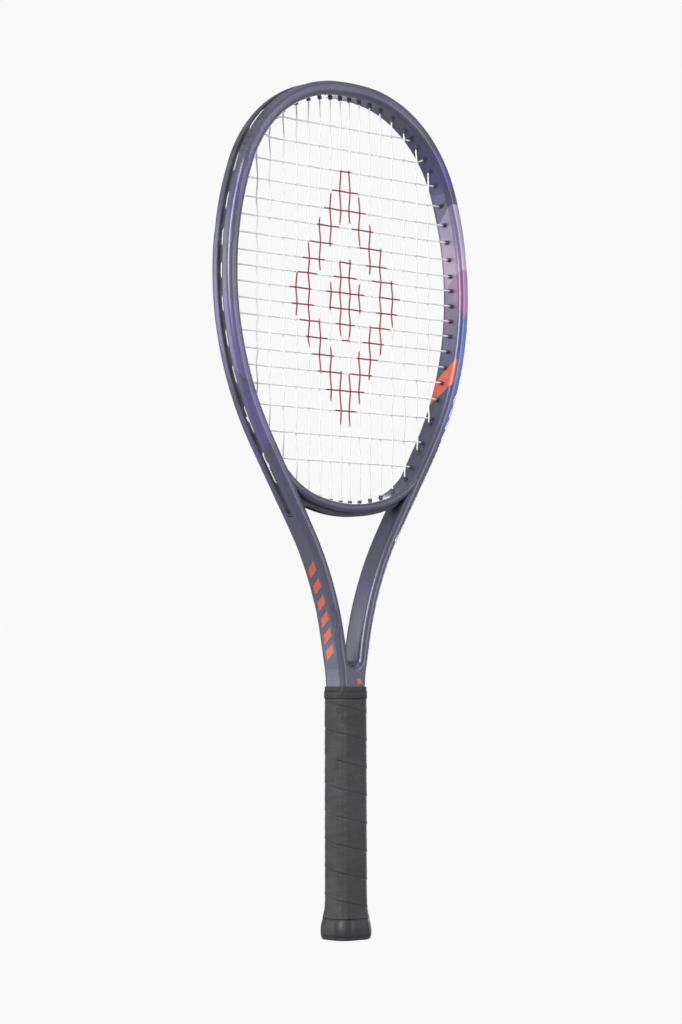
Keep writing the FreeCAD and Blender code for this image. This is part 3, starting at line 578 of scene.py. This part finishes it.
def make_hole(u, sdir, y_exit):
    x, z, nx, nz = at(u, TIP)
    dx, dz = nx + sdir[0], nz + sdir[1]
    n = math.hypot(dx, dz)
    dx, dz = dx / n, dz / n
    k = (EXIT_OFF - TIP) / (dx * nx + dz * nz)
    ex, ez = x + dx * k, z + dz * k
    f = lambda uu: (at(uu, EXIT_OFF)[0] - ex) ** 2 + (at(uu, EXIT_OFF)[1] - ez) ** 2
    s = -1.0 if u < 0 else 1.0
    lo, hi = abs(u) - 14.0, abs(u) + 14.0
    for _ in range(70):
        m1, m2 = lo + (hi - lo) / 3.0, hi - (hi - lo) / 3.0
        if f(s * m1) < f(s * m2):
            hi = m2
        else:
            lo = m1
    ue = s * 0.5 * (lo + hi)
    e = at(ue, EXIT_OFF)
    return {"tip": np.array([x, 0, z]), "exit": np.array([e[0], y_exit, e[1]]), "u": ue}


def bridge_z(x, off):
    a = math.radians(BRIDGE_A)
    x = abs(x)
    zc1 = BRIDGE_Z + BRIDGE_R1
    if x <= (BRIDGE_R1 + off) * math.sin(a):
        return zc1 - math.sqrt((BRIDGE_R1 + off) ** 2 - x * x)
    cx = (BRIDGE_R1 - BRIDGE_R2) * math.sin(a)
    cz = zc1 - (BRIDGE_R1 - BRIDGE_R2) * math.cos(a)
    return cz - math.sqrt((BRIDGE_R2 + off) ** 2 - (x - cx) ** 2)


holes = {}
for i, X in enumerate(MAIN_X):
    u = u_of_phi(SHOULDER[("m", i)]) if ("m", i) in SHOULDER else solve(lambda t: at(t, TIP)[0] - X, 0.0, 190.0)
    ub = solve(lambda t: -(at(t, TIP)[0] - X), 240.0, U_ARC_END + ARM_LINE) if i >= 5 else None
    for s in (1, -1):
        holes[("m", "top", i, s)] = make_hole(s * u, (0.0, 1.0), EXIT_Y)
        if ub is not None:
            holes[("m", "bot", i, s)] = make_hole(s * ub, (0.0, -1.0), EXIT_Y)
for j, Z in enumerate(CROSS_Z):
    u = u_of_phi(SHOULDER[("c", j)]) if ("c", j) in SHOULDER else solve(lambda t: -(at(t, TIP)[1] - Z), 20.0, U_ARC_END + ARM_LINE)
    for s in (1, -1):
        holes[("c", "side", j, s)] = make_hole(s * u, (float(s), 0.0), -EXIT_Y)
BR_EXIT = BR_T + 1.2 + STRING_R + 0.12
for s in (1, -1):
    holes[("m", "bot", 5, s)]["tip"] = np.array([s * MAIN_X[5], 0, bridge_z(MAIN_X[5], -2.4)])
    for i in range(5):
        X = MAIN_X[i]
        holes[("m", "bot", i, s)] = {"tip": np.array([s * X, 0, bridge_z(X, -2.4)]),
                                     "exit": np.array([s * X, EXIT_Y, bridge_z(X, BR_EXIT)]), "u": None}


def groove_path(h0, h1, y):
    u0, u1 = h0["u"], h1["u"]
    n = max(3, int(abs(u1 - u0) / 1.8) + 1)
    return [np.array([at(u, EXIT_OFF)[0], y, at(u, EXIT_OFF)[1]]) for u in np.linspace(u0, u1, n + 1)]


def bridge_path(x0, x1, y):
    n = max(3, int(abs(x1 - x0) / 1.8) + 1)
    return [np.array([x, y, bridge_z(x, BR_EXIT)]) for x in np.linspace(x0, x1, n + 1)]


def half_width(j):
    return abs(holes[("c", "side", j, 1)]["tip"][0])


def sgn(mi, j):
    return 1.0 if (mi + j) % 2 == 0 else -1.0


def wavy(ctrl):
    """Smooth weave: straight in X and Z, cosine in Y between the crossings."""
    out = [ctrl[0]]
    for a, b in zip(ctrl[:-1], ctrl[1:]):
        n = max(2, int(np.linalg.norm(b - a) / 1.9))
        for k in range(1, n + 1):
            t = k / n
            p = a + (b - a) * t
            p[1] = a[1] + (b[1] - a[1]) * 0.5 * (1 - math.cos(math.pi * t))
            out.append(p)
    return out


def main_run(i, s, up):
    X = s * MAIN_X[i]
    mi = 8 + i if s > 0 else 7 - i
    c = [holes[("m", "bot", i, s)]["tip"].copy()]
    zb, zt = c[0][2], holes[("m", "top", i, s)]["tip"][2]
    for j in range(18, -1, -1):
        if MAIN_X[i] < half_width(j) - 1.5 and zb + 2.5 < CROSS_Z[j] < zt - 2.5:
            c.append(np.array([X, WEAVE * sgn(mi, j), CROSS_Z[j]]))
    c.append(holes[("m", "top", i, s)]["tip"].copy())
    p = wavy(c)
    return p if up else p[::-1]


def cross_run(j, to_right):
    Z = CROSS_Z[j]
    c = [holes[("c", "side", j, -1)]["tip"].copy()]
    hw = half_width(j)
    for m in range(16):
        i, s = (m - 8, 1) if m >= 8 else (7 - m, -1)
        zb, zt = holes[("m", "bot", i, s)]["tip"][2], holes[("m", "top", i, s)]["tip"][2]
        if MAIN_X[i] < hw - 1.5 and zb + 2.5 < Z < zt - 2.5:
            c.append(np.array([s * MAIN_X[i], -WEAVE * sgn(m, j), Z]))
    c.append(holes[("c", "side", j, 1)]["tip"].copy())
    p = wavy(c)
    return p if to_right else p[::-1]


def tail(h, du, y):
    q = at(h["u"] + du, EXIT_OFF)
    return np.array([q[0], y, q[1]])


order = [(i, -1) for i in range(7, -1, -1)] + [(i, 1) for i in range(8)]
mp, up = [], True
h = holes[("m", "bot", 7, -1)]
mp += [tail(h, 5.0, EXIT_Y), h["exit"]]
for n_, (i, s) in enumerate(order):
    mp += main_run(i, s, up)
    kind = "top" if up else "bot"
    if n_ < len(order) - 1:
        ha, hb = holes[("m", kind, i, s)], holes[("m", kind, *order[n_ + 1])]
        mp += groove_path(ha, hb, EXIT_Y) if ha["u"] is not None and hb["u"] is not None \
            else bridge_path(ha["exit"][0], hb["exit"][0], EXIT_Y)
    up = not up
h = holes[("m", "bot", 7, 1)]
mp += [h["exit"], tail(h, -5.0, EXIT_Y)]

cp = []
h = holes[("c", "side", 0, 1)]
cp += [tail(h, -5.0, -EXIT_Y), h["exit"]]
to_right = False
for j in range(19):
    cp += cross_run(j, to_right)
    s = 1 if to_right else -1
    h = holes[("c", "side", j, s)]
    cp += groove_path(h, holes[("c", "side", j + 1, s)], -EXIT_Y) if j < 18 else [h["exit"], tail(h, s * 5.0, -EXIT_Y)]
    to_right = not to_right


def tube(path, r, sides=10, soften=2):
    P = [path[0]]
    for p in path[1:]:
        d = np.linalg.norm(p - P[-1])
        if d < 0.25:
            continue
        n = int(math.ceil(d / 2.0))
        a = P[-1].copy()
        for k in range(1, n + 1):
            P.append(a + (p - a) * k / n)
    P = np.array(P)
    for _ in range(soften):
        Q = P.copy()
        Q[1:-1] = 0.2 * P[:-2] + 0.6 * P[1:-1] + 0.2 * P[2:]
        P = Q
    T = np.gradient(P, axis=0)
    T /= np.linalg.norm(T, axis=1)[:, None]
    a = np.cross(T[0], [0, 1, 0])
    a /= np.linalg.norm(a)
    V_, F_ = [], []
    cs = [(math.cos(2 * math.pi * k / sides), math.sin(2 * math.pi * k / sides)) for k in range(sides)]
    for i in range(len(P)):
        a = a - T[i] * np.dot(a, T[i])
        a /= np.linalg.norm(a)
        b = np.cross(T[i], a)
        for c, s in cs:
            V_.append(P[i] + r * (a * c + b * s))
    for i in range(len(P) - 1):
        for k in range(sides):
            l = (k + 1) % sides
            F_.append((i * sides + k, i * sides + l, (i + 1) * sides + l, (i + 1) * sides + k))
    F_.append(tuple(range(sides - 1, -1, -1)))
    F_.append(tuple(range((len(P) - 1) * sides, len(P) * sides)))
    return V_, F_


v, f = tube(mp, STRING_R)
new_mesh("woven_mains", v, f, M_STRING, "racket", "main_string")
v, f = tube(cp, STRING_R)
new_mesh("woven_crosses", v, f, M_STRING, "racket", "cross_string")

# smooth shading on the moulded CAD pieces, with their real edges kept
for name in ("frame_tube", "throat_bridge", "bumper_guard", "side_grommet_strip_left", "side_grommet_strip_right",
             "throat_grommet_strip"):
    me = NODES[name].data
    if hasattr(me, "set_sharp_from_angle"):
        for p in me.polygons:
            p.use_smooth = True
        me.set_sharp_from_angle(angle=math.radians(32))

# =====================================================================  stage, light and camera
me = bpy.data.meshes.new("floor")
R = 60.0
me.from_pydata([(-R, -R, -0.34), (R, -R, -0.34), (R, R, -0.34), (-R, R, -0.34)], [], [(0, 1, 2, 3)])
floor = bpy.data.objects.new("floor", me)
bpy.context.scene.collection.objects.link(floor)
fm = bpy.data.materials.new("floor_pale")
fm.use_nodes = True
nt = fm.node_tree
nt.nodes.clear()
em = nt.nodes.new("ShaderNodeEmission")
em.inputs[0].default_value = (0.945, 0.945, 0.945, 1)
em2 = nt.nodes.new("ShaderNodeEmission")
em2.inputs[0].default_value = (0.48, 0.48, 0.50, 1)
flp = nt.nodes.new("ShaderNodeLightPath")
fmx = nt.nodes.new("ShaderNodeMixShader")
oo = nt.nodes.new("ShaderNodeOutputMaterial")
nt.links.new(flp.outputs["Is Camera Ray"], fmx.inputs[0])
nt.links.new(em2.outputs[0], fmx.inputs[1])
nt.links.new(em.outputs[0], fmx.inputs[2])
# seen from below, the floor lets the view through
geo = nt.nodes.new("ShaderNodeNewGeometry")
clear = nt.nodes.new("ShaderNodeBsdfTransparent")
fm2 = nt.nodes.new("ShaderNodeMixShader")
nt.links.new(geo.outputs["Backfacing"], fm2.inputs[0])
nt.links.new(fmx.outputs[0], fm2.inputs[1])
nt.links.new(clear.outputs[0], fm2.inputs[2])
nt.links.new(fm2.outputs[0], oo.inputs[0])
me.materials.append(fm)

world = bpy.data.worlds.new("studio")
bpy.context.scene.world = world
world.use_nodes = True
nt = world.node_tree
nt.nodes.clear()
bg_cam = nt.nodes.new("ShaderNodeBackground")
bg_cam.inputs[0].default_value = (0.945, 0.945, 0.945, 1)
bg_lit = nt.nodes.new("ShaderNodeBackground")
bg_lit.inputs[0].default_value = (0.93, 0.95, 1.0, 1)
bg_lit.inputs[1].default_value = 0.5
lp = nt.nodes.new("ShaderNodeLightPath")
mx = nt.nodes.new("ShaderNodeMixShader")
wo = nt.nodes.new("ShaderNodeOutputWorld")
nt.links.new(lp.outputs["Is Camera Ray"], mx.inputs[0])
nt.links.new(bg_lit.outputs[0], mx.inputs[1])
nt.links.new(bg_cam.outputs[0], mx.inputs[2])
nt.links.new(mx.outputs[0], wo.inputs[0])


def area(name, loc, target, size, power, color=(1, 1, 1)):
    d = bpy.data.lights.new(name, "AREA")
    d.shape = "RECTANGLE"
    d.size, d.size_y = size
    d.energy = power
    d.color = color
    o = bpy.data.objects.new(name, d)
    bpy.context.scene.collection.objects.link(o)
    o.location = loc
    o.rotation_mode = "QUATERNION"
    o.rotation_quaternion = (Vector(target) - Vector(loc)).to_track_quat("-Z", "Y")
    return o


mid = (0.0, 0.0, 0.4)
area("key_left", (-2.3, -1.0, 1.3), mid, (0.7, 1.6), 62.0)
area("front_right", (1.1, -2.2, 0.9), mid, (0.8, 1.8), 17.0, (1.0, 0.98, 0.99))
area("side_right", (2.3, 0.35, 0.5), mid, (0.5, 1.1), 13.0, (0.96, 0.96, 1.0))
area("rim_back", (1.8, 1.6, 1.2), mid, (0.8, 1.6), 18.0)
area("left_soft", (-1.7, 1.5, 0.55), mid, (0.8, 1.8), 15.0, (0.98, 0.97, 1.0))
area("top_soft", (-0.2, -0.3, 2.4), mid, (1.4, 1.4), 9.0)

cam = bpy.data.cameras.new("camera")
cam.sensor_fit = "AUTO"
cam.sensor_width = 36.0
cam.lens = 2710.0 * 36.0 / 1024.0
co = bpy.data.objects.new("camera", cam)
bpy.context.scene.collection.objects.link(co)
yaw, pitch, roll = math.radians(42.116), math.radians(3.312), math.radians(-0.085)
fwd = Vector((math.sin(yaw) * math.cos(pitch), math.cos(yaw) * math.cos(pitch), math.sin(pitch)))
right = Vector((math.cos(yaw), -math.sin(yaw), 0.0))
upv = right.cross(fwd)
DIST = 2.1683
target = Vector((-0.00471, 0.0, 0.33953))
m = Matrix((right, upv, -fwd)).transposed().to_4x4()
co.matrix_world = Matrix.Translation(target - fwd * DIST) @ m @ Matrix.Rotation(roll, 4, "Z")
bpy.context.scene.camera = co
bpy.context.scene.view_settings.view_transform = "Standard"
